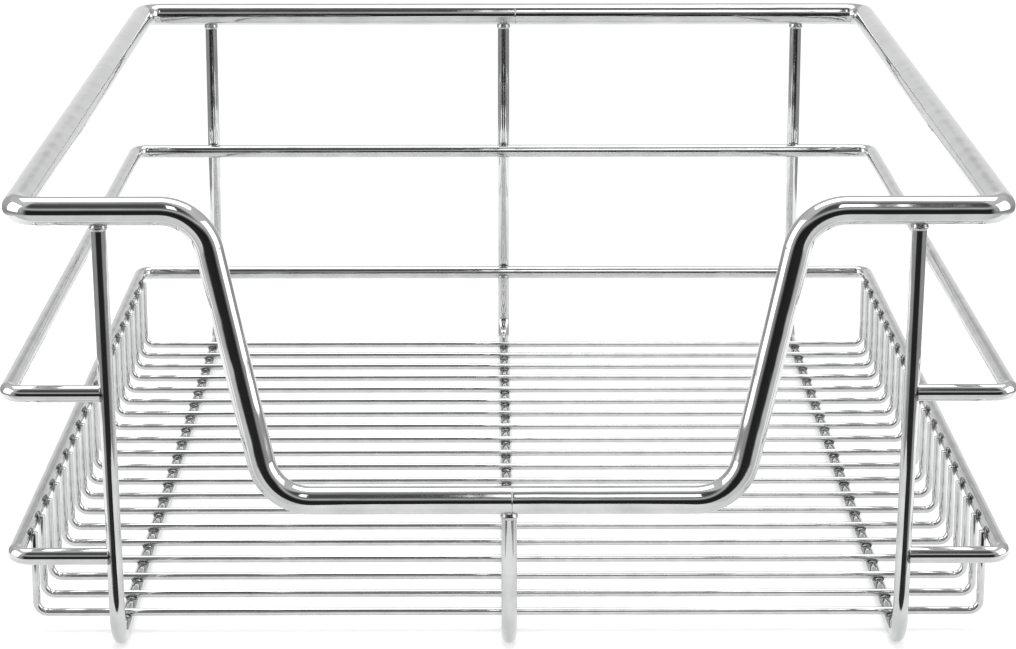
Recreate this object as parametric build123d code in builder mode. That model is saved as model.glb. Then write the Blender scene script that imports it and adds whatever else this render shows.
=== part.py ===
"""Pull-out cabinet basket: a welded, chrome-plated wire basket.

Millimetres. The origin is on the surface that the basket stands on, below its middle.
+X is to the right, +Y runs into the cabinet (the handle side is at -Y) and +Z is up.

How it is put together, from the outside in:
  top rail     the thickest wire, a closed loop made of two bent halves butt-welded at two seams;
               its front dips in the middle, so that a hand can reach in and pull
  middle rail  a U of thinner wire round the left, back and right sides
  rim rail     a second U, lower down, that carries the ends of the cross wires
  long wires   three wires: up the back, along the floor and up the front
  cross wires  twenty thin wires that make the bottom and turn up to the rim rail
"""
import os

from build123d import *

os.makedirs("parts", exist_ok=True)

# ---------------------------------------------------------------- wire gauges
top_wire_d = 10.0
rail_wire_d = 6.0
long_wire_d = 5.5
cross_wire_d = 2.8

# ---------------------------------------------------------------- overall sizes, outside to outside
basket_height = 165.0
top_rail_width = 350.0
top_rail_depth = 440.0
middle_rail_overhang = 3.0     # the middle rail stands out past the top rail by this, each side
rim_rail_overhang = 2.5        # the rim rail stands out past the top rail by this, each side

# ---------------------------------------------------------------- heights of wire centres above the floor
middle_rail_z = 95.0
rim_rail_z = 35.5
dip_z = 56.0

# ---------------------------------------------------------------- the dip in the front of the top rail
dip_middle_x = -2.0            # the dip lies a little to the left of the basket's middle
dip_top_width = 208.0          # between the sharp corners of its outline at the top
dip_bottom_width = 163.5       # between the sharp corners of its outline at the bottom
dip_bend_r = 17.5

# ---------------------------------------------------------------- other bends, on the wire's centre line
top_corner_r = 8.0
rail_corner_r = 6.0
foot_bend_r = 10.0
cross_bend_r = 4.0

# ---------------------------------------------------------------- layout
long_wire_inset = 31.5         # from the side of the top rail in to each outer long wire
front_splay = 2.5              # the outer front uprights lean out by this much towards the top
back_seam_x = 5.5              # butt weld in the back of the top rail
front_seam_x = 1.0             # butt weld in the bottom of the dip
seam_groove = 0.25             # the weld shows as a hairline groove round the wire
cross_wire_count = 20
front_wire_inset = 23.0        # from the front uprights to the first cross wire
back_wire_inset = 31.5         # from the last cross wire to the back uprights
leg_tip_rise = 1.5             # the cross wires end this far above the rim rail's centre line

# ---------------------------------------------------------------- resistance welds
weld_sink = 0.4                # two crossing wires are pressed this far into each other
butt_sink = 0.9                # a wire's end is pressed this far into the wire that it meets

# ---------------------------------------------------------------- worked out from the sizes above
top_z = basket_height - top_wire_d / 2
top_half_width = (top_rail_width - top_wire_d) / 2
long_wire_spacing = top_half_width - long_wire_inset
front_y = -(top_rail_depth - top_wire_d) / 2
back_y = -front_y
floor_wire_z = long_wire_d / 2

upright_top_z = top_z - top_wire_d / 2 + butt_sink
dip_upright_top_z = dip_z - top_wire_d / 2 + butt_sink

rail_back_y = back_y - (long_wire_d + rail_wire_d) / 2 + weld_sink
middle_half_width = (top_rail_width - rail_wire_d) / 2 + middle_rail_overhang
rim_half_width = (top_rail_width - rail_wire_d) / 2 + rim_rail_overhang

cross_wire_z = long_wire_d + cross_wire_d / 2 - weld_sink
leg_x = rim_half_width - (rail_wire_d + cross_wire_d) / 2 + weld_sink
leg_tip_z = rim_rail_z + leg_tip_rise
first_wire_y = front_y + front_wire_inset
last_wire_y = back_y - back_wire_inset
cross_wire_pitch = (last_wire_y - first_wire_y) / (cross_wire_count - 1)


def front_upright_x(z):
    """Where the right front upright stands at height z; it leans out towards its top."""
    lean = front_splay / (upright_top_z - floor_wire_z)
    return long_wire_spacing + lean * (z - floor_wire_z)


def top_rail_half(side):
    """One bent half of the top rail, from the back seam to the seam in the dip.

    side is -1 for the left half and +1 for the right half.
    """
    with BuildPart() as half:
        with BuildLine() as route:
            FilletPolyline(
                (back_seam_x, back_y, top_z),
                (side * top_half_width, back_y, top_z),
                (side * top_half_width, front_y, top_z),
                (dip_middle_x + side * dip_top_width / 2, front_y, top_z),
                (dip_middle_x + side * dip_bottom_width / 2, front_y, dip_z),
                (front_seam_x, front_y, dip_z),
                radius=[top_corner_r, top_corner_r, dip_bend_r, dip_bend_r],
            )
        with BuildSketch(Plane(origin=route.line @ 0, z_dir=route.line % 0)):
            Circle(top_wire_d / 2)
        sweep()
        seam_faces = half.faces().filter_by(GeomType.PLANE)
        chamfer(seam_faces.edges(), seam_groove)
    return half


def long_wire(floor_x, front_top_x, front_top_z, rails):
    """One wire from the back of the top rail, down, along the floor and up at the front.

    rails are the halves of the top rail that its two ends are shaped to.
    """
    with BuildPart() as wire:
        with BuildLine() as route:
            FilletPolyline(
                (floor_x, back_y, upright_top_z),
                (floor_x, back_y, floor_wire_z),
                (floor_x, front_y, floor_wire_z),
                (front_top_x, front_y, front_top_z),
                radius=[foot_bend_r, foot_bend_r],
            )
        with BuildSketch(Plane(origin=route.line @ 0, z_dir=route.line % 0)):
            Circle(long_wire_d / 2)
        sweep()
        for rail in rails:
            add(rail.part, mode=Mode.SUBTRACT)
    return wire


def side_rail(half_width, rail_z, uprights):
    """A U-shaped rail round the left, back and right sides, with a short return at the front.

    It runs inside the back uprights, and its ends meet the outer sides of the front ones.
    """
    end_x = front_upright_x(rail_z) + long_wire_d / 2 - butt_sink
    with BuildPart() as rail:
        with BuildLine() as route:
            FilletPolyline(
                (-end_x, front_y, rail_z),
                (-half_width, front_y, rail_z),
                (-half_width, rail_back_y, rail_z),
                (half_width, rail_back_y, rail_z),
                (half_width, front_y, rail_z),
                (end_x, front_y, rail_z),
                radius=[rail_corner_r] * 4,
            )
        with BuildSketch(Plane(origin=route.line @ 0, z_dir=route.line % 0)):
            Circle(rail_wire_d / 2)
        sweep()
        for upright in uprights:
            add(upright.part, mode=Mode.SUBTRACT)
    return rail


def write_piece(piece, name):
    """Label one finished solid and write it under its name."""
    piece.label = name
    export_step(piece, f"parts/{name}.step")


# ---------------------------------------------------------------- top rail
top_rail_left = top_rail_half(-1)
top_rail_right = top_rail_half(1)

# ---------------------------------------------------------------- long wires
top_rails = [top_rail_left, top_rail_right]
outer_top_x = front_upright_x(upright_top_z)
long_wire_left = long_wire(-long_wire_spacing, -outer_top_x, upright_top_z, top_rails)
long_wire_centre = long_wire(0, 0, dip_upright_top_z, top_rails)
long_wire_right = long_wire(long_wire_spacing, outer_top_x, upright_top_z, top_rails)
long_wires = [long_wire_left, long_wire_centre, long_wire_right]

# ---------------------------------------------------------------- side rails
middle_rail = side_rail(middle_half_width, middle_rail_z, long_wires)
rim_rail = side_rail(rim_half_width, rim_rail_z, long_wires)

# ---------------------------------------------------------------- cross wires
# One wire is bent and pressed to the long wires and the rim rail, where it lies first from the
# front. All the wires that it touches run straight along Y there, so the others are its copies.
with BuildPart() as cross_wire:
    with BuildLine() as cross_route:
        FilletPolyline(
            (-leg_x, first_wire_y, leg_tip_z),
            (-leg_x, first_wire_y, cross_wire_z),
            (leg_x, first_wire_y, cross_wire_z),
            (leg_x, first_wire_y, leg_tip_z),
            radius=[cross_bend_r, cross_bend_r],
        )
    with BuildSketch(Plane(origin=cross_route.line @ 0, z_dir=cross_route.line % 0)):
        Circle(cross_wire_d / 2)
    sweep()
    for carrier in [*long_wires, rim_rail]:
        add(carrier.part, mode=Mode.SUBTRACT)

# ---------------------------------------------------------------- export
write_piece(top_rail_left.part, "top_rail_left")
write_piece(top_rail_right.part, "top_rail_right")
write_piece(middle_rail.part, "middle_rail")
write_piece(rim_rail.part, "rim_rail")
write_piece(long_wire_left.part, "long_wire_left")
write_piece(long_wire_centre.part, "long_wire_centre")
write_piece(long_wire_right.part, "long_wire_right")
for index in range(cross_wire_count):
    offset = Location((0, index * cross_wire_pitch, 0))
    write_piece(cross_wire.part.moved(offset), f"cross_wire_{index + 1:02d}")

print(f"cross wire pitch {cross_wire_pitch:.2f}")
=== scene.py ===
# %% [markdown]
# # A pull-out basket of chrome-plated wire
#
# The real basket is nothing but wire: one thick wire for the top rail, thinner ones for the side
# rails and the frame, and twenty thin ones for the floor, all bent, spot-welded and then plated
# together in a chrome bath. So this lesson bends wires, one gauge after the other, adds the small
# beads of the welds and then spends its care on the plating and on the studio that it mirrors.
#
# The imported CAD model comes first. Every wire made here takes its place from it.

# %% Load the frame
import math

import bpy
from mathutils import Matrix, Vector


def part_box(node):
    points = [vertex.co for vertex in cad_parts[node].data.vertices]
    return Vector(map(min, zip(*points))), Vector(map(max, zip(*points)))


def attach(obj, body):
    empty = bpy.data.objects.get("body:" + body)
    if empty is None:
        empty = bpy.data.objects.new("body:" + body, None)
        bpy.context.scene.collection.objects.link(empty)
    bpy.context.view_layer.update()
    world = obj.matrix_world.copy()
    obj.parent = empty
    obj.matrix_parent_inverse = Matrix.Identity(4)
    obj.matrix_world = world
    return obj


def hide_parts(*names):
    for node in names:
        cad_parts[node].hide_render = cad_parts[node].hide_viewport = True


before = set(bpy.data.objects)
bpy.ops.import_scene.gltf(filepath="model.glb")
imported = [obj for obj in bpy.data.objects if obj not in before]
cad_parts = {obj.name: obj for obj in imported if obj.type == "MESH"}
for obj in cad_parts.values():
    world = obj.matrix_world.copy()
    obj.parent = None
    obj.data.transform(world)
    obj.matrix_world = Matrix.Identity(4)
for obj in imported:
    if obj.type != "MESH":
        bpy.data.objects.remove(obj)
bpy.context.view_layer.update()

MM = 0.001

# %% [markdown]
# ## The camera
#
# The photograph was taken from in front and a little above, from over a metre away, so the sides
# of the basket run together only slowly. A long lens gives that. It points down by fourteen and a
# half degrees and a hair to the right. The focal length is given in pixels of the photograph, as
# it was measured there.

# %% Set up the camera
CAMERA_PLACE = Vector((-6.75 * MM, -1280.5 * MM, 396 * MM))
CAMERA_DOWN = math.radians(14.54)
CAMERA_RIGHT = math.radians(0.34)
PHOTO_WIDTH = 1016
FOCAL_PIXELS = 3182
SENSOR_WIDTH = 36

bpy.ops.object.camera_add(
    location=CAMERA_PLACE,
    rotation=(math.radians(90) - CAMERA_DOWN, 0, -CAMERA_RIGHT),
)
camera = bpy.context.object
camera.name = "camera"
camera.data.sensor_fit = "HORIZONTAL"
camera.data.sensor_width = SENSOR_WIDTH
camera.data.lens = FOCAL_PIXELS / PHOTO_WIDTH * SENSOR_WIDTH
bpy.context.scene.camera = camera
print("lens in mm:", round(camera.data.lens, 1))

# %% [markdown]
# ## The gauges and the places
#
# A wire basket is drawn by its wires' centre lines. The heights and half widths are read from the
# boxes of the CAD nodes, less half of the wire's thickness.

# %% Read the gauges and places
TOP_GAUGE = 10 * MM
RAIL_GAUGE = 6 * MM
LONG_GAUGE = 5.5 * MM
CROSS_GAUGE = 2.8 * MM

top_left_low, top_left_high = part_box("top_rail_left")
top_right_low, top_right_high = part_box("top_rail_right")
top_z = top_left_high.z - TOP_GAUGE / 2
top_half_width = top_right_high.x - TOP_GAUGE / 2
front_y = top_left_low.y + TOP_GAUGE / 2
back_y = top_left_high.y - TOP_GAUGE / 2
dip_z = top_left_low.z + TOP_GAUGE / 2
back_seam_x = top_left_high.x
front_seam_x = top_right_low.x
print("top rail at z", round(top_z / MM, 1), "dip at z", round(dip_z / MM, 1))
print("seams at x", round(back_seam_x / MM, 2), "and", round(front_seam_x / MM, 2))

# %% [markdown]
# ## Bending a wire
#
# A wire bender pushes wire out straight, and turns it round a pin for each bend. The same two
# moves make the mesh: a circle is extruded for a straight run, and spun round the pin's centre
# for a bend. A curve with a bevel would be quicker, but its rings tilt in tight bends, and a
# mirror finish shows that at once.
#
# The circle comes first. It is as wide as the wire, and square to the way that the wire heads.


# %% Make the first ring
def wire_ring(name, gauge, place, heading, sides):
    """Makes the circle that a wire grows from, at place and square to heading."""
    bpy.ops.object.select_all(action="DESELECT")
    bpy.ops.mesh.primitive_circle_add(
        vertices=sides,
        radius=gauge / 2,
        fill_type="NOTHING",
        location=place,
        rotation=heading.to_track_quat("Z", "Y").to_euler(),
    )
    piece = bpy.context.object
    piece.name = name
    bpy.ops.object.transform_apply(location=True, rotation=True, scale=True)
    return piece


# %% [markdown]
# Blender blends the shading between one ring and the next. Over a long run, that would carry the
# tilt of a bend's first ring far along the straight wire, and a mirror shows it as a bent wire.
# So each run gets a ring close to either end, which keeps everything between them straight.


# %% Push a straight run
END_RING = 0.6 * MM


def push_wire(run, ring_distances):
    """Extrudes the open end of a wire by a straight run, with a ring close to either end."""
    if run.length > 3 * END_RING:
        pushes = [END_RING, run.length - 2 * END_RING, END_RING]
    else:
        pushes = [run.length]
    for push in pushes:
        step = run.normalized() * push
        bpy.ops.mesh.extrude_region_move(TRANSFORM_OT_translate={"value": step})
        ring_distances.append(ring_distances[-1] + push)


# %% [markdown]
# While it is bent, the wire remembers where each point was when it was still straight: its
# distance along the wire and its place across it. The plating's fine lines follow the drawn wire
# round the bends with that.


# %% Remember the straight wire
def remember_straight(piece, spokes, ring_distances):
    """Stores each point's distance along the straight wire and its two places across it."""
    straight = piece.data.attributes.new("straight_wire", "FLOAT_VECTOR", "POINT")
    for ring, distance in enumerate(ring_distances):
        for i, (across, beside) in enumerate(spokes):
            straight.data[ring * len(spokes) + i].vector = (distance, across, beside)


# %% [markdown]
# Now the bender itself. The corners are where the centre line would turn if it were sharp, and
# each bend eats the same length of run before and after its corner.


# %% Make the wire bender
def bent_wire(name, gauge, corners, bend_radii, sides, bend_steps):
    """Bends one wire along sharp corners, with a radius for each, and closes its two ends."""
    place = Vector(corners[0])
    heading = (Vector(corners[1]) - place).normalized()
    piece = wire_ring(name, gauge, place, heading, sides)
    first_ring = [vertex.co - place for vertex in piece.data.vertices]
    across = first_ring[0].normalized()
    beside = heading.cross(across)
    spokes = [(spoke.dot(across), spoke.dot(beside)) for spoke in first_ring]
    ring_distances = [0.0]

    bpy.ops.object.mode_set(mode="EDIT")
    bpy.ops.mesh.select_all(action="SELECT")
    for corner, after, bend_r in zip(corners[1:-1], corners[2:], bend_radii):
        corner = Vector(corner)
        new_heading = (Vector(after) - corner).normalized()
        turn = heading.angle(new_heading)
        setback = bend_r * math.tan(turn / 2)
        run = corner - heading * setback - place
        push_wire(run, ring_distances)
        axis = heading.cross(new_heading).normalized()
        pin = place + run + axis.cross(heading) * bend_r
        bpy.ops.mesh.spin(steps=bend_steps, angle=-turn, center=pin, axis=axis)
        for step in range(bend_steps):
            ring_distances.append(ring_distances[-1] + bend_r * turn / bend_steps)
        place = corner + new_heading * setback
        heading = new_heading
    push_wire(Vector(corners[-1]) - place, ring_distances)

    bpy.ops.mesh.select_all(action="SELECT")
    bpy.ops.mesh.fill_holes(sides=0)
    bpy.ops.mesh.normals_make_consistent(inside=False)
    bpy.ops.object.mode_set(mode="OBJECT")
    remember_straight(piece, spokes, ring_distances)
    print(name, "is", round(ring_distances[-1] / MM), "mm of wire in", len(ring_distances), "rings")
    return piece


# %% [markdown]
# ## Cut ends
#
# A cut wire has a small burr that tumbling rounds off. The two caps are the only faces with more
# than four sides, so they are easy to find, and their rims get a narrow bevel.


# %% Round the cut ends
def round_ends(piece, width):
    """Bevels the rims of a wire's two end caps."""
    bpy.ops.object.select_all(action="DESELECT")
    bpy.context.view_layer.objects.active = piece
    piece.select_set(True)
    bpy.ops.object.mode_set(mode="EDIT")
    bpy.ops.mesh.select_all(action="DESELECT")
    bpy.ops.object.mode_set(mode="OBJECT")
    for face in piece.data.polygons:
        face.select = len(face.vertices) > 4
    bpy.ops.object.mode_set(mode="EDIT")
    bpy.ops.mesh.region_to_loop()
    bpy.ops.mesh.bevel(offset=width, segments=2, affect="EDGES")
    bpy.ops.object.mode_set(mode="OBJECT")


# %% [markdown]
# ## The top rail
#
# The thickest wire is bent in two halves. Each runs from a seam in the back, round its side and
# down into the dip in the front, where a hand reaches in. The dip was bent 2 mm to the left of
# the middle. The halves meet in two butt welds, ground and plated over, that show as a hairline
# round the wire.

# %% Bend the two halves of the top rail
TOP_CORNER_R = 8 * MM
DIP_BEND_R = 17.5 * MM
DIP_MIDDLE_X = -2 * MM
DIP_TOP_WIDTH = 208 * MM
DIP_BOTTOM_WIDTH = 163.5 * MM
SEAM_GROOVE = 0.25 * MM

top_halves = []
for side, name in ((-1, "left"), (1, "right")):
    half = bent_wire(
        "top_rail_" + name + "_wire",
        TOP_GAUGE,
        [
            (back_seam_x, back_y, top_z),
            (side * top_half_width, back_y, top_z),
            (side * top_half_width, front_y, top_z),
            (DIP_MIDDLE_X + side * DIP_TOP_WIDTH / 2, front_y, top_z),
            (DIP_MIDDLE_X + side * DIP_BOTTOM_WIDTH / 2, front_y, dip_z),
            (front_seam_x, front_y, dip_z),
        ],
        [TOP_CORNER_R, TOP_CORNER_R, DIP_BEND_R, DIP_BEND_R],
        sides=36,
        bend_steps=14,
    )
    round_ends(half, SEAM_GROOVE)
    top_halves.append(half)

# %% [markdown]
# ## The long wires
#
# Three wires run from the back of the top rail down to the floor, forward and up again. The outer
# two end under the front of the top rail and lean out a little, because the rail is sprung apart
# when they are welded. The middle one ends under the dip. Their ends go a little way into the
# rail, so that no gap shows.

# %% Bend the long wires
FOOT_BEND_R = 10 * MM
WELD_DEPTH = 1.5 * MM

outer_low, outer_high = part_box("long_wire_right")
floor_x = outer_low.x + LONG_GAUGE / 2
front_top_x = outer_high.x - LONG_GAUGE / 2
floor_z = outer_low.z + LONG_GAUGE / 2
upright_top_z = top_z - TOP_GAUGE / 2 + WELD_DEPTH
dip_upright_top_z = dip_z - TOP_GAUGE / 2 + WELD_DEPTH


def long_wire(name, x, front_x, front_z):
    """Bends one long wire: down the back, along the floor and up the front."""
    return bent_wire(
        name,
        LONG_GAUGE,
        [
            (x, back_y, upright_top_z),
            (x, back_y, floor_z),
            (x, front_y, floor_z),
            (front_x, front_y, front_z),
        ],
        [FOOT_BEND_R, FOOT_BEND_R],
        sides=28,
        bend_steps=12,
    )


long_left = long_wire("long_left_wire", -floor_x, -front_top_x, upright_top_z)
long_centre = long_wire("long_centre_wire", 0, 0, dip_upright_top_z)
long_right = long_wire("long_right_wire", floor_x, front_top_x, upright_top_z)

# %% [markdown]
# ## The side rails
#
# The middle rail and the rim rail are the same U. Each starts on the outer side of the left front
# upright, goes round the left side, the back and the right side, and ends on the right front
# upright. Behind, it passes on the inner side of the back uprights.

# %% Bend the side rails
RAIL_CORNER_R = 6 * MM
STUB_DEPTH = 0.9 * MM


def front_upright_x(z):
    """Where the right front upright stands at height z."""
    share = (z - floor_z) / (upright_top_z - floor_z)
    return floor_x + share * (front_top_x - floor_x)


def side_rail(name, node):
    """Bends one side rail where its CAD node is, and returns it with its height."""
    low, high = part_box(node)
    half_width = high.x - RAIL_GAUGE / 2
    rail_back_y = high.y - RAIL_GAUGE / 2
    z = (low.z + high.z) / 2
    end_x = front_upright_x(z) + LONG_GAUGE / 2 - STUB_DEPTH
    rail = bent_wire(
        name,
        RAIL_GAUGE,
        [
            (-end_x, front_y, z),
            (-half_width, front_y, z),
            (-half_width, rail_back_y, z),
            (half_width, rail_back_y, z),
            (half_width, front_y, z),
            (end_x, front_y, z),
        ],
        [RAIL_CORNER_R] * 4,
        sides=28,
        bend_steps=12,
    )
    return rail, z


middle_rail, middle_z = side_rail("middle_rail_wire", "middle_rail")
rim_rail, rim_z = side_rail("rim_rail_wire", "rim_rail")

# %% [markdown]
# ## The first cross wire
#
# Twenty thin wires make the floor. Each lies across the long wires and turns up at both ends to
# the inner side of the rim rail. One is bent here, and it gets its beads of weld before it is
# copied, so that each copy brings its own.

# %% Bend one cross wire
CROSS_BEND_R = 4 * MM
CUT_END_BEVEL = 0.35 * MM

cross_low, cross_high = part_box("cross_wire_01")
leg_x = cross_high.x - CROSS_GAUGE / 2
cross_y = (cross_low.y + cross_high.y) / 2
cross_z = cross_low.z + CROSS_GAUGE / 2
leg_top_z = cross_high.z

cross_wire = bent_wire(
    "cross_wire",
    CROSS_GAUGE,
    [
        (-leg_x, cross_y, leg_top_z),
        (-leg_x, cross_y, cross_z),
        (leg_x, cross_y, cross_z),
        (leg_x, cross_y, leg_top_z),
    ],
    [CROSS_BEND_R, CROSS_BEND_R],
    sides=16,
    bend_steps=8,
)
round_ends(cross_wire, CUT_END_BEVEL)

# %% [markdown]
# ## Spot welds
#
# Where two wires cross, the welder's electrodes press them together and a current melts the spot
# where they touch. The metal squeezed out cools as a flat bead with an ear in each of the four
# corners between the wires. A sphere is a fair start: the vertices near its diagonals are drawn
# out to the ears, it is turned so that its poles point across the joint, and it is squashed to
# the bead's sizes.

# %% Make a spot weld's bead
EAR_BREADTH = 0.45
EAR_HEIGHT = 0.6
TURN_AXES = {"X": "Y", "Y": "X"}


def weld_bead(name, place, half_sizes, ear=1.0, flat="Z", segments=12, rings=7):
    """Makes one bead: half_sizes are along X, Y and Z, and flat is the axis it is squashed on."""
    bpy.ops.object.select_all(action="DESELECT")
    bpy.ops.mesh.primitive_uv_sphere_add(segments=segments, ring_count=rings, radius=1.0)
    bead = bpy.context.object
    bead.name = name
    bpy.ops.object.mode_set(mode="EDIT")
    bpy.ops.mesh.select_all(action="DESELECT")
    bpy.ops.object.mode_set(mode="OBJECT")
    for vertex in bead.data.vertices:
        off_diagonal = abs(abs(vertex.co.x) - abs(vertex.co.y))
        vertex.select = off_diagonal < EAR_BREADTH and abs(vertex.co.z) < EAR_HEIGHT
    bpy.ops.object.mode_set(mode="EDIT")
    bpy.ops.transform.resize(value=(ear, ear, 1.0))
    bpy.ops.mesh.select_all(action="SELECT")
    if flat in TURN_AXES:
        bpy.ops.transform.rotate(
            value=math.radians(90), orient_axis=TURN_AXES[flat], center_override=(0, 0, 0)
        )
    bpy.ops.transform.resize(value=half_sizes)
    bpy.ops.transform.translate(value=place)
    bpy.ops.mesh.normals_make_consistent(inside=False)
    bpy.ops.object.mode_set(mode="OBJECT")
    bpy.ops.object.shade_smooth()
    return bead


# %% [markdown]
# A cross wire has three beads on the long wires and one on each leg, at the rim rail. The bead on
# a leg sits high, round the cut tip, because the rail pushes the soft metal up past it.

# %% Weld the cross wire
FLOOR_BEAD = (2.15 * MM, 2.1 * MM, 1.05 * MM)
FLOOR_BEAD_EAR = 1.15
LEG_BEAD = (1.15 * MM, 2.2 * MM, 2.1 * MM)
LEG_BEAD_EAR = 1.12
LEG_BEAD_INSET = 0.2 * MM
LEG_BEAD_RISE = 0.8 * MM

leg_bead_x = leg_x + CROSS_GAUGE / 2 - LEG_BEAD_INSET
cross_beads = []
for i, x in enumerate((-floor_x, 0, floor_x)):
    place = (x, cross_y, cross_z - CROSS_GAUGE / 2)
    cross_beads.append(weld_bead("floor_bead_" + str(i), place, FLOOR_BEAD, FLOOR_BEAD_EAR))
for i, side in enumerate((-1, 1)):
    place = (side * leg_bead_x, cross_y, rim_z + LEG_BEAD_RISE)
    cross_beads.append(weld_bead("leg_bead_" + str(i), place, LEG_BEAD, LEG_BEAD_EAR, flat="X"))
print("beads on a cross wire:", len(cross_beads), "of", len(cross_beads[0].data.polygons), "faces")

# %% [markdown]
# Behind, each side rail crosses three uprights. These beads are larger, and stand taller than
# the rail, so that a little of them shows above and below it. The rail's cut ends meet the front
# uprights from outside, each in a bead that wraps the joint.

# %% Weld the side rails
CROSSING_BEAD = (2.5 * MM, 1.5 * MM, 3.75 * MM)
CROSSING_BEAD_EAR = 1.1
CROSSING_BEAD_DEPTH = 0.3 * MM
STUB_BEAD = (1.5 * MM, 3.2 * MM, 3.35 * MM)
STUB_BEAD_OFFSET = 1.75 * MM

crossing_y = back_y - LONG_GAUGE / 2 + CROSSING_BEAD_DEPTH


def rail_beads(name, z):
    """Makes the three crossing beads and the two end beads of the side rail at height z."""
    beads = []
    for i, x in enumerate((-floor_x, 0, floor_x)):
        beads.append(
            weld_bead(
                name + "_bead_" + str(i),
                (x, crossing_y, z),
                CROSSING_BEAD,
                CROSSING_BEAD_EAR,
                flat="Y",
                segments=16,
                rings=9,
            )
        )
    for i, side in enumerate((-1, 1)):
        beads.append(
            weld_bead(
                name + "_end_bead_" + str(i),
                (side * (front_upright_x(z) + STUB_BEAD_OFFSET), front_y, z),
                STUB_BEAD,
                flat="X",
                segments=20,
                rings=11,
            )
        )
    return beads


middle_beads = rail_beads("middle", middle_z)
rim_beads = rail_beads("rim", rim_z)
print("beads on the side rails:", len(middle_beads) + len(rim_beads))

# %% [markdown]
# ## Collars under the top rail
#
# An upright's end is melted into the underside of the rail, and the metal is squeezed out to a
# small round collar. Its upper half mirrors the dark room and its lower half the white table, so
# it shows as a dark line over a white one. A ring is extruded upwards, widened step by step to
# the collar's belly, more along X than along Y, and narrowed again, and a subdivision surface
# smooths it.

# %% Make the collar
# Each step is a height above the rail's centre line, a half width along X and one along Y.
COLLAR_STEPS = (
    (-7.0 * MM, 2.74 * MM, 2.74 * MM),
    (-6.6 * MM, 2.98 * MM, 2.92 * MM),
    (-6.1 * MM, 3.22 * MM, 3.06 * MM),
    (-5.7 * MM, 3.26 * MM, 3.10 * MM),
    (-5.3 * MM, 3.08 * MM, 2.98 * MM),
    (-5.0 * MM, 2.88 * MM, 2.86 * MM),
    (-3.6 * MM, 2.80 * MM, 2.80 * MM),
)


def weld_collar(name, place):
    """Makes one collar under a rail whose centre line passes through place."""
    bpy.ops.object.select_all(action="DESELECT")
    bpy.ops.mesh.primitive_circle_add(vertices=24, radius=1.0, fill_type="NOTHING")
    collar = bpy.context.object
    collar.name = name
    bpy.ops.object.mode_set(mode="EDIT")
    bpy.ops.mesh.select_all(action="SELECT")
    last_z, last_x, last_y = 0.0, 1.0, 1.0
    for step, (z, half_x, half_y) in enumerate(COLLAR_STEPS):
        if step > 0:
            bpy.ops.mesh.extrude_region_move(TRANSFORM_OT_translate={"value": (0, 0, z - last_z)})
        else:
            bpy.ops.transform.translate(value=(0, 0, z))
        bpy.ops.transform.resize(
            value=(half_x / last_x, half_y / last_y, 1), center_override=(0, 0, z)
        )
        last_z, last_x, last_y = z, half_x, half_y
    bpy.ops.mesh.select_all(action="SELECT")
    bpy.ops.mesh.fill_holes(sides=0)
    bpy.ops.transform.translate(value=place)
    bpy.ops.mesh.normals_make_consistent(inside=False)
    bpy.ops.object.mode_set(mode="OBJECT")
    smoothing = collar.modifiers.new("smoothing", "SUBSURF")
    smoothing.levels = 1
    smoothing.render_levels = 1
    bpy.ops.object.modifier_apply(modifier=smoothing.name)
    bpy.ops.object.shade_smooth()
    return collar


# %% [markdown]
# Each long wire has two collars, one behind and one in front. The middle wire's front collar is
# under the dip.

# %% Weld the collars
collars = {
    long_left: [
        weld_collar("collar_back_left", (-floor_x, back_y, top_z)),
        weld_collar("collar_front_left", (-front_top_x, front_y, top_z)),
    ],
    long_centre: [
        weld_collar("collar_back_centre", (0, back_y, top_z)),
        weld_collar("collar_dip", (0, front_y, dip_z)),
    ],
    long_right: [
        weld_collar("collar_back_right", (floor_x, back_y, top_z)),
        weld_collar("collar_front_right", (front_top_x, front_y, top_z)),
    ],
}
print("collars:", sum(len(pair) for pair in collars.values()))

# %% [markdown]
# ## The plating
#
# Bright chrome is a mirror, so most of its look comes from what it mirrors. What is left is
# small, and it is what tells plated wire from a computer's perfect tube. Two effects are shared by
# the materials, so each is a node group. A few helpers add the nodes that come up again and again.


# %% Make the helpers for nodes
def effect_group(name, inputs, outputs):
    """Starts a node group with named sockets and returns it with its two end nodes."""
    group = bpy.data.node_groups.new(name, "ShaderNodeTree")
    for socket_name, socket_type, value in inputs:
        socket = group.interface.new_socket(socket_name, in_out="INPUT", socket_type=socket_type)
        if value is not None:
            socket.default_value = value
    for socket_name, socket_type in outputs:
        group.interface.new_socket(socket_name, in_out="OUTPUT", socket_type=socket_type)
    return group, group.nodes.new("NodeGroupInput"), group.nodes.new("NodeGroupOutput")


def math_node(tree, operation, *values):
    """Adds a Math node. Each value is a number or a socket to link."""
    node = tree.nodes.new("ShaderNodeMath")
    node.operation = operation
    for socket, value in zip(node.inputs, values):
        if isinstance(value, (int, float)):
            socket.default_value = value
        else:
            tree.links.new(value, socket)
    return node.outputs[0]


def colour_mix(tree, factor, first, second):
    """Adds a Mix node. Each colour is four numbers or a socket to link."""
    node = tree.nodes.new("ShaderNodeMix")
    node.data_type = "RGBA"
    tree.links.new(factor, node.inputs["Factor"])
    for socket, colour in ((node.inputs["A"], first), (node.inputs["B"], second)):
        if isinstance(colour, tuple):
            socket.default_value = colour
        else:
            tree.links.new(colour, socket)
    return node.outputs["Result"]


def smooth_range(tree, value, start, end):
    """Adds a Map Range node that goes softly from 0 to 1 while the value goes from start to end."""
    node = tree.nodes.new("ShaderNodeMapRange")
    node.interpolation_type = "SMOOTHSTEP"
    node.inputs["From Min"].default_value = start
    node.inputs["From Max"].default_value = end
    tree.links.new(value, node.inputs["Value"])
    return node


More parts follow.
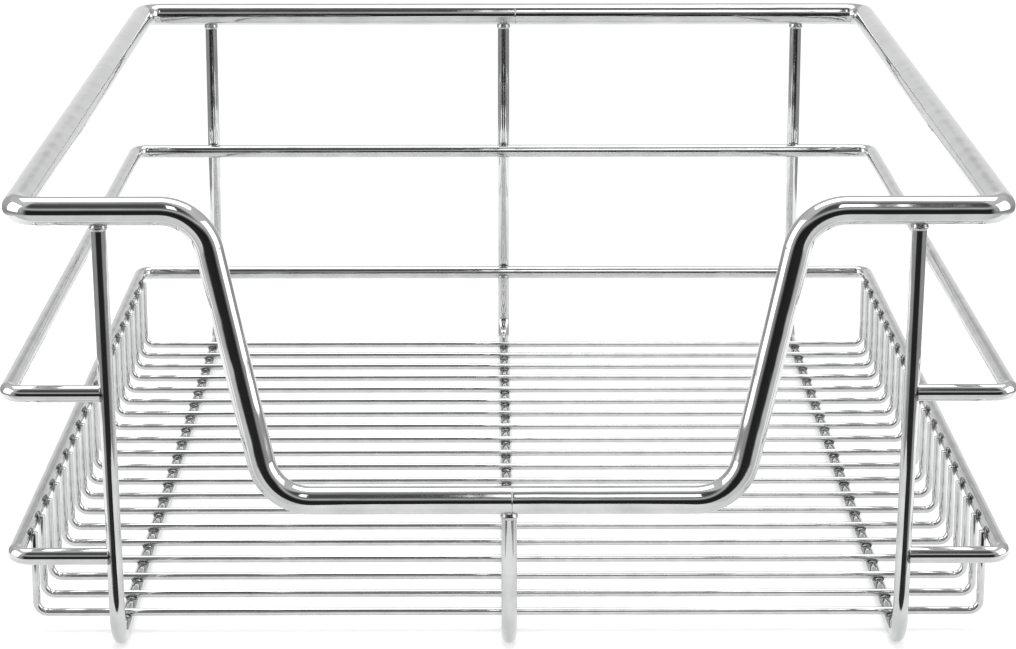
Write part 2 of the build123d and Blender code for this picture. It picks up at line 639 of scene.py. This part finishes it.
# %% [markdown]
# Drawn wire keeps faint lines along its length, from the die that it was pulled through, and the
# plating doesn't quite fill them. They are a fine noise, stretched far along the wire.

# %% Make the lines of drawn wire
LINE_STRETCH = 0.012

lines_group, lines_in, lines_out = effect_group(
    "draw_lines",
    [("Vector", "NodeSocketVector", None), ("Fineness", "NodeSocketFloat", 1400.0)],
    [("Height", "NodeSocketFloat")],
)
stretch = lines_group.nodes.new("ShaderNodeMapping")
stretch.inputs["Scale"].default_value = (LINE_STRETCH, 1.0, 1.0)
lines_noise = lines_group.nodes.new("ShaderNodeTexNoise")
lines_noise.inputs["Detail"].default_value = 2.0
lines_group.links.new(lines_in.outputs["Vector"], stretch.inputs["Vector"])
lines_group.links.new(stretch.outputs["Vector"], lines_noise.inputs["Vector"])
lines_group.links.new(lines_in.outputs["Fineness"], lines_noise.inputs["Scale"])
lines_group.links.new(lines_noise.outputs["Fac"], lines_out.inputs["Height"])
print("effect:", lines_group.name)

# %% [markdown]
# The plating itself is thicker and thinner in soft clouds, with a little haze where it is thin. A
# cloud is the middle of a noise's range, stretched to run from 0 to 1.

# %% Make the plating's clouds
CLOUD_START = 0.35
CLOUD_END = 0.70

cloud_group, cloud_in, cloud_out = effect_group(
    "plating_clouds",
    [
        ("Vector", "NodeSocketVector", None),
        ("Scale", "NodeSocketFloat", 90.0),
        ("Thin Roughness", "NodeSocketFloat", 0.10),
        ("Thick Roughness", "NodeSocketFloat", 0.045),
    ],
    [("Cloud", "NodeSocketFloat"), ("Roughness", "NodeSocketFloat")],
)
cloud_noise = cloud_group.nodes.new("ShaderNodeTexNoise")
cloud_noise.inputs["Detail"].default_value = 4.0
cloud_noise.inputs["Roughness"].default_value = 0.6
cloud_range = cloud_group.nodes.new("ShaderNodeMapRange")
cloud_range.inputs["From Min"].default_value = CLOUD_START
cloud_range.inputs["From Max"].default_value = CLOUD_END
roughness_range = cloud_group.nodes.new("ShaderNodeMapRange")
cloud_group.links.new(cloud_in.outputs["Vector"], cloud_noise.inputs["Vector"])
cloud_group.links.new(cloud_in.outputs["Scale"], cloud_noise.inputs["Scale"])
cloud_group.links.new(cloud_noise.outputs["Fac"], cloud_range.inputs["Value"])
cloud_group.links.new(cloud_range.outputs["Result"], roughness_range.inputs["Value"])
cloud_group.links.new(cloud_in.outputs["Thick Roughness"], roughness_range.inputs["To Min"])
cloud_group.links.new(cloud_in.outputs["Thin Roughness"], roughness_range.inputs["To Max"])
cloud_group.links.new(cloud_range.outputs["Result"], cloud_out.inputs["Cloud"])
cloud_group.links.new(roughness_range.outputs["Result"], cloud_out.inputs["Roughness"])
print("effect:", cloud_group.name)

# %% [markdown]
# Every chrome starts the same. It is a metal, and its colour and its haze come from the clouds.
# Its relief is a Bump node whose distance is given in metres.

# %% Make what every chrome starts with
CHROME_IOR = 2.5


def plated_metal(name, place_node, place_output, cloud_scale, thick, thin):
    """Starts a chrome. The place node says where on the piece a point is."""
    material = bpy.data.materials.new(name)
    material.use_nodes = True
    tree = material.node_tree
    shader = tree.nodes["Principled BSDF"]
    shader.inputs["Metallic"].default_value = 1.0
    shader.inputs["IOR"].default_value = CHROME_IOR
    place = tree.nodes.new(place_node)
    clouds = tree.nodes.new("ShaderNodeGroup")
    clouds.node_tree = cloud_group
    clouds.inputs["Scale"].default_value = cloud_scale
    tree.links.new(place.outputs[place_output], clouds.inputs["Vector"])
    colour = colour_mix(tree, clouds.outputs["Cloud"], thick, thin)
    tree.links.new(colour, shader.inputs["Base Color"])
    tree.links.new(clouds.outputs["Roughness"], shader.inputs["Roughness"])
    return material, place, clouds


def add_relief(material, height, distance):
    """Bumps a material by a height that is worth so much distance where it is 1."""
    tree = material.node_tree
    bump = tree.nodes.new("ShaderNodeBump")
    bump.inputs["Strength"].default_value = 1.0
    bump.inputs["Distance"].default_value = distance
    tree.links.new(height, bump.inputs["Height"])
    tree.links.new(bump.outputs["Normal"], tree.nodes["Principled BSDF"].inputs["Normal"])


# %% [markdown]
# Each gauge gets a chrome of its own from the two effects. Metal's base colour is what it mirrors
# straight on, and chromium mirrors a little over half of the light, with no tint. The waves are
# long and shallow, as on any bent wire, and they make the mirrored bands wander a little.

# %% Make the chrome of the wires
CHROME_THICK = (0.600, 0.603, 0.606, 1)
CHROME_THIN = (0.500, 0.503, 0.507, 1)


def chrome(name, fineness, cloud_scale, wave_scale, wave_depth, line_depth):
    """Makes the chrome of one gauge of wire. The scales are per metre and the depths in metres."""
    material, straight, clouds = plated_metal(
        name, "ShaderNodeAttribute", "Vector", cloud_scale, CHROME_THICK, CHROME_THIN
    )
    straight.attribute_name = "straight_wire"
    tree = material.node_tree
    lines = tree.nodes.new("ShaderNodeGroup")
    lines.node_tree = lines_group
    lines.inputs["Fineness"].default_value = fineness
    tree.links.new(straight.outputs["Vector"], lines.inputs["Vector"])
    waves = tree.nodes.new("ShaderNodeTexNoise")
    waves.inputs["Scale"].default_value = wave_scale
    waves.inputs["Detail"].default_value = 1.0
    tree.links.new(straight.outputs["Vector"], waves.inputs["Vector"])
    wave_height = math_node(tree, "MULTIPLY", waves.outputs["Fac"], wave_depth)
    line_height = math_node(tree, "MULTIPLY", lines.outputs["Height"], line_depth)
    add_relief(material, math_node(tree, "ADD", wave_height, line_height), distance=1.0)
    return material


top_chrome = chrome(
    "chrome_top_rail",
    fineness=1200,
    cloud_scale=70,
    wave_scale=55,
    wave_depth=0.25 * MM,
    line_depth=0.004 * MM,
)
rail_chrome = chrome(
    "chrome_side_rails",
    fineness=1500,
    cloud_scale=90,
    wave_scale=70,
    wave_depth=0.15 * MM,
    line_depth=0.004 * MM,
)
long_chrome = chrome(
    "chrome_long_wires",
    fineness=1600,
    cloud_scale=90,
    wave_scale=70,
    wave_depth=0.15 * MM,
    line_depth=0.004 * MM,
)
cross_chrome = chrome(
    "chrome_cross_wires",
    fineness=2200,
    cloud_scale=120,
    wave_scale=90,
    wave_depth=0.10 * MM,
    line_depth=0.003 * MM,
)
print("chromes:", [made.name for made in (top_chrome, rail_chrome, long_chrome, cross_chrome)])

# %% [markdown]
# A bead's finish is darker than the wires' chrome, hazier and dimpled: its grey goes in small
# clouds from a dark grey to near black. The collars are lighter, from about the wires' grey to a
# darker one. Beads and collars have no memory of a straight wire, so this finish reads the place in
# space.

# %% Make the finish of the welds
DIMPLES_PER_METRE = 500
DIMPLE_DEPTH = 0.08 * MM
WELD_ROUGHNESS_THICK = 0.06
WELD_ROUGHNESS_THIN = 0.18
BLUE_SHARE = 1.01


def weld_chrome(name, plated_grey, cloud_dark_grey):
    """Makes a hazy, dimpled chrome that goes from one grey to a darker one in small clouds."""
    material, place, clouds = plated_metal(
        name,
        "ShaderNodeTexCoord",
        "Object",
        DIMPLES_PER_METRE,
        (plated_grey, plated_grey, BLUE_SHARE * plated_grey, 1),
        (cloud_dark_grey, cloud_dark_grey, BLUE_SHARE * cloud_dark_grey, 1),
    )
    clouds.inputs["Thick Roughness"].default_value = WELD_ROUGHNESS_THICK
    clouds.inputs["Thin Roughness"].default_value = WELD_ROUGHNESS_THIN
    add_relief(material, clouds.outputs["Cloud"], DIMPLE_DEPTH)
    return material


# The beads' grey runs from a dark grey to near black, the collars' from about the wires' grey to a
# darker one.
bead_finish = weld_chrome("chrome_welds", plated_grey=0.25, cloud_dark_grey=0.03)
collar_finish = weld_chrome("chrome_collars", plated_grey=0.58, cloud_dark_grey=0.25)
print("finishes:", [made.name for made in (bead_finish, collar_finish)])

# %% [markdown]
# ## Putting the wires together
#
# Each wire takes its chrome, and its beads take the finish of the welds. The beads are then
# joined to their wire, because a bead is never seen without it.

# %% Finish each wire
SMOOTH_ANGLE = math.radians(50)


def finished(wire, beads, material, name, weld_finish=bead_finish):
    """Gives a wire and its beads their finishes and joins them to one piece."""
    wire.data.materials.append(material)
    for bead in beads:
        bead.data.materials.append(weld_finish)
    bpy.ops.object.select_all(action="DESELECT")
    for part in [wire, *beads]:
        part.select_set(True)
    bpy.context.view_layer.objects.active = wire
    if beads:
        bpy.ops.object.join()
    bpy.ops.object.shade_smooth_by_angle(angle=SMOOTH_ANGLE)
    wire.name = name
    wire.data.name = name
    return wire


for half, name in zip(top_halves, ("top_rail_left", "top_rail_right")):
    piece = finished(half, [], top_chrome, "chrome_" + name)
    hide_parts(name)
    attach(piece, "root")

for rail, beads, name in (
    (middle_rail, middle_beads, "middle_rail"),
    (rim_rail, rim_beads, "rim_rail"),
):
    piece = finished(rail, beads, rail_chrome, "chrome_" + name)
    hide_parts(name)
    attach(piece, "root")

for wire, name in (
    (long_left, "long_wire_left"),
    (long_centre, "long_wire_centre"),
    (long_right, "long_wire_right"),
):
    piece = finished(wire, collars[wire], long_chrome, "chrome_" + name, collar_finish)
    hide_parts(name)
    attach(piece, "root")
print("large wires finished")

# %% [markdown]
# ## Twenty cross wires
#
# The finished cross wire is duplicated for each of the others, and moved to where its CAD node
# is. The move is applied, so that the place is in the mesh. Each copy's straight-wire distance is
# shifted too, so that no two wires have the same clouds and lines.

# %% Copy the cross wire
CROSS_WIRE_COUNT = 20
WIRE_SHIFT = 0.45

first_cross = finished(cross_wire, cross_beads, cross_chrome, "chrome_cross_wire_01")
cross_pieces = [first_cross]
for number in range(2, CROSS_WIRE_COUNT + 1):
    low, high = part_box(f"cross_wire_{number:02d}")
    bpy.ops.object.select_all(action="DESELECT")
    first_cross.select_set(True)
    bpy.context.view_layer.objects.active = first_cross
    bpy.ops.object.duplicate(linked=False)
    copy = bpy.context.object
    copy.name = f"chrome_cross_wire_{number:02d}"
    copy.data.name = copy.name
    bpy.ops.transform.translate(value=(0, (low.y + high.y) / 2 - cross_y, 0))
    bpy.ops.object.transform_apply(location=True, rotation=True, scale=True)
    for point in copy.data.attributes["straight_wire"].data:
        point.vector = Vector(point.vector) + Vector((WIRE_SHIFT * number, 0, 0))
    cross_pieces.append(copy)

for number, piece in enumerate(cross_pieces, start=1):
    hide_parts(f"cross_wire_{number:02d}")
    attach(piece, "root")
print("cross wires:", len(cross_pieces), "of", len(first_cross.data.polygons), "faces each")

# %% [markdown]
# ## The floor
#
# The basket stands on a plain white table top, about twice its own size. The white of the
# photograph is overexposed until its shadows are almost gone. A little glow does the same here,
# and it grows towards the sides, where the outer side of every wire mirrors it.

# %% Make the white of the table
TABLE_WHITE = (0.60, 0.60, 0.60, 1)
TABLE_GLOW_STARTS = 190 * MM
TABLE_GLOW_FULL = 290 * MM
TABLE_GLOW_MIDDLE = 0.465
TABLE_GLOW_SIDES = 0.735

table_white = bpy.data.materials.new("table_white")
table_white.use_nodes = True
table_tree = table_white.node_tree
table_shader = table_tree.nodes["Principled BSDF"]
table_shader.inputs["Base Color"].default_value = TABLE_WHITE
table_shader.inputs["Roughness"].default_value = 0.8
table_shader.inputs["Specular IOR Level"].default_value = 0.2
table_shader.inputs["Emission Strength"].default_value = 1.0

table_place = table_tree.nodes.new("ShaderNodeTexCoord")
table_split = table_tree.nodes.new("ShaderNodeSeparateXYZ")
table_tree.links.new(table_place.outputs["Object"], table_split.inputs["Vector"])
off_middle = math_node(table_tree, "ABSOLUTE", table_split.outputs["X"])
glow = smooth_range(table_tree, off_middle, TABLE_GLOW_STARTS, TABLE_GLOW_FULL)
glow.inputs["To Min"].default_value = TABLE_GLOW_MIDDLE
glow.inputs["To Max"].default_value = TABLE_GLOW_SIDES
table_tree.links.new(glow.outputs["Result"], table_shader.inputs["Emission Color"])
print("glow of the table:", TABLE_GLOW_MIDDLE, "in the middle,", TABLE_GLOW_SIDES, "at the sides")

# %% [markdown]
# The wires mirror the table's edges: below, they show the white table, and above its front edge
# they show the dark room in front of it. A white card before the middle keeps the short upright
# there light from top to bottom. Both are out of the picture, or white on white in it.

# %% Lay the floor
TABLE_FRONT_Y = -262 * MM
TABLE_BACK_Y = 600 * MM
TABLE_HALF_WIDTH = 450 * MM
CARD_FRONT_Y = -430 * MM
CARD_BACK_HALF_WIDTH = 98 * MM
CARD_FRONT_HALF_WIDTH = 58 * MM


def white_sheet(name, front, back, half_width, front_share=1.0):
    """Lays a white sheet on the floor. Its front edge may be a share of its back edge's width."""
    bpy.ops.object.select_all(action="DESELECT")
    bpy.ops.mesh.primitive_plane_add(size=1.0)
    sheet = bpy.context.object
    sheet.name = name
    bpy.ops.object.mode_set(mode="EDIT")
    bpy.ops.mesh.select_all(action="SELECT")
    bpy.ops.transform.resize(value=(2 * half_width, back - front, 1))
    bpy.ops.transform.translate(value=(0, (back + front) / 2, 0))
    bpy.ops.mesh.select_all(action="DESELECT")
    bpy.ops.object.mode_set(mode="OBJECT")
    for vertex in sheet.data.vertices:
        vertex.select = vertex.co.y < (back + front) / 2
    bpy.ops.object.mode_set(mode="EDIT")
    bpy.ops.transform.resize(value=(front_share, 1, 1), center_override=(0, front, 0))
    bpy.ops.object.mode_set(mode="OBJECT")
    sheet.data.materials.append(table_white)
    return sheet


white_sheet("table_top", TABLE_FRONT_Y, TABLE_BACK_Y, TABLE_HALF_WIDTH)
white_sheet(
    "white_card",
    CARD_FRONT_Y,
    TABLE_FRONT_Y,
    CARD_BACK_HALF_WIDTH,
    CARD_FRONT_HALF_WIDTH / CARD_BACK_HALF_WIDTH,
)
print("table front edge in mm:", round(TABLE_FRONT_Y / MM), "card to", round(CARD_FRONT_Y / MM))

# %% [markdown]
# ## The studio
#
# What a chrome wire shows is the room round it. The room of the photograph is white behind, pale
# grey at the sides, and dark on the camera's side, with a paler strip at a third of the way up. A
# world with three ramps by height makes it: one for the sides, one for the wall behind and one for
# the camera's side. Each stop is a direction's height, from -1 straight down to 1 straight up, and
# a grey.

# %% Give the greys of the room
SIDE_GREYS = [
    (-1.0, 0.90),
    (-0.45, 0.85),
    (-0.27, 0.42),
    (-0.08, 0.42),
    (0.02, 0.56),
    (0.38, 0.60),
    (0.60, 0.78),
    (1.0, 0.90),
]
BACK_WALL_GREYS = [
    (-1.0, 0.90),
    (-0.30, 0.92),
    (0.20, 0.90),
    (0.31, 0.62),
    (0.45, 0.65),
    (0.60, 0.78),
    (1.0, 0.90),
]
CAMERA_SIDE_GREYS = [
    (-1.0, 1.0),
    (-0.40, 1.0),
    (-0.345, 0.03),
    (0.14, 0.02),
    (0.26, 0.15),
    (0.38, 0.75),
    (0.50, 0.35),
    (0.64, 0.10),
    (0.84, 0.10),
    (0.92, 0.22),
    (0.97, 0.42),
    (1.0, 0.70),
]
print("stops:", len(SIDE_GREYS), len(BACK_WALL_GREYS), len(CAMERA_SIDE_GREYS))

# %% [markdown]
# The ramps read the height of the direction that a mirrored ray goes in. A ramp's positions run
# from 0 to 1, so the height is halved and moved up by a half, for the stops and for the ray alike.

# %% Make the ramps
world = bpy.data.worlds.new("studio")
world.use_nodes = True
bpy.context.scene.world = world
room = world.node_tree

direction = room.nodes.new("ShaderNodeTexCoord")
split = room.nodes.new("ShaderNodeSeparateXYZ")
room.links.new(direction.outputs["Generated"], split.inputs["Vector"])
height = math_node(room, "MULTIPLY_ADD", split.outputs["Z"], 0.5, 0.5)


def height_ramp(name, stops):
    """Adds a ramp of greys by height and returns its colour."""
    ramp = room.nodes.new("ShaderNodeValToRGB")
    ramp.label = name
    ramp.color_ramp.interpolation = "EASE"
    elements = ramp.color_ramp.elements
    while len(elements) < len(stops):
        elements.new(1.0)
    for element, (stop_height, grey) in zip(elements, stops):
        element.position = (stop_height + 1) / 2
        element.color = (grey, grey, grey, 1)
    room.links.new(height, ramp.inputs["Fac"])
    return ramp.outputs["Color"]


sides = height_ramp("sides", SIDE_GREYS)
back_wall = height_ramp("back wall", BACK_WALL_GREYS)
camera_side = height_ramp("camera side", CAMERA_SIDE_GREYS)
print("room nodes:", len(room.nodes))

# %% [markdown]
# The compass bearing blends them. It is the direction without its height, made one long again, so
# its Y is 1 straight behind, 0 at the sides and -1 on the camera's side.

# %% Blend the ramps by the bearing
BACK_WALL_STARTS = 0.86
BACK_WALL_FULL = 0.93
CAMERA_SIDE_STARTS = -0.62
CAMERA_SIDE_FULL = -0.86

flat = room.nodes.new("ShaderNodeCombineXYZ")
room.links.new(split.outputs["X"], flat.inputs["X"])
room.links.new(split.outputs["Y"], flat.inputs["Y"])
bearing = room.nodes.new("ShaderNodeVectorMath")
bearing.operation = "NORMALIZE"
room.links.new(flat.outputs["Vector"], bearing.inputs[0])
bearing_parts = room.nodes.new("ShaderNodeSeparateXYZ")
room.links.new(bearing.outputs["Vector"], bearing_parts.inputs["Vector"])
bearing_y = bearing_parts.outputs["Y"]

behind = smooth_range(room, bearing_y, BACK_WALL_STARTS, BACK_WALL_FULL)
in_front = smooth_range(room, bearing_y, CAMERA_SIDE_STARTS, CAMERA_SIDE_FULL)
pale_walls = colour_mix(room, behind.outputs["Result"], sides, back_wall)
mirrored_room = colour_mix(room, in_front.outputs["Result"], pale_walls, camera_side)
print("room nodes:", len(room.nodes))

# %% [markdown]
# Only mirrored rays see that room. The camera sees plain white behind the table, and the floor is
# lit by an even pale sky.

# %% Choose what each ray sees
EVEN_SKY = (0.50, 0.50, 0.50, 1)
PLAIN_WHITE = (1.05, 1.05, 1.05, 1)

rays = room.nodes.new("ShaderNodeLightPath")
with_sky = colour_mix(room, rays.outputs["Is Diffuse Ray"], mirrored_room, EVEN_SKY)
seen_world = colour_mix(room, rays.outputs["Is Camera Ray"], with_sky, PLAIN_WHITE)
room.links.new(seen_world, room.nodes["Background"].inputs["Color"])
print("room nodes:", len(room.nodes))

# %% [markdown]
# Four softboxes complete it: a wide one overhead, a little behind the basket, that lays the long
# white line on each rail, a tall narrow one over the camera's right shoulder, and a large one at
# each side, which whitens the outer side of every bend. A softbox's power is worked out from its
# size and from how bright it looks in a mirror. The picture takes the light as it is, with no film
# look over it.


# %% Hang the softboxes
def softbox(name, place, aim, width, depth, radiance):
    """Hangs a rectangular softbox at place, facing aim, of the brightness that a mirror shows."""
    bpy.ops.object.light_add(type="AREA", location=place)
    box = bpy.context.object
    box.name = name
    box.rotation_euler = (Vector(aim) - Vector(place)).to_track_quat("-Z", "Y").to_euler()
    box.data.shape = "RECTANGLE"
    box.data.size = width
    box.data.size_y = depth
    box.data.energy = radiance * math.pi * width * depth
    print(name, "of", round(box.data.energy), "watts")
    return box


softbox(
    "softbox_overhead",
    place=(0, 0.95, 2.76),
    aim=(0, 0.95, 0),
    width=3.2,
    depth=1.9,
    radiance=3.0,
)
softbox(
    "softbox_key",
    place=(0.222, -1.815, 2.0),
    aim=(0.222, -0.215, 0.16),
    width=0.445,
    depth=0.95,
    radiance=2.6,
)
for name, side in (("softbox_left", -1), ("softbox_right", 1)):
    softbox(
        name,
        place=(side * 2.05, -0.35, 0.78),
        aim=(0, 0, 0.1),
        width=1.7,
        depth=1.75,
        radiance=2.3,
    )

bpy.context.scene.view_settings.view_transform = "Standard"
bpy.context.scene.view_settings.look = "None"
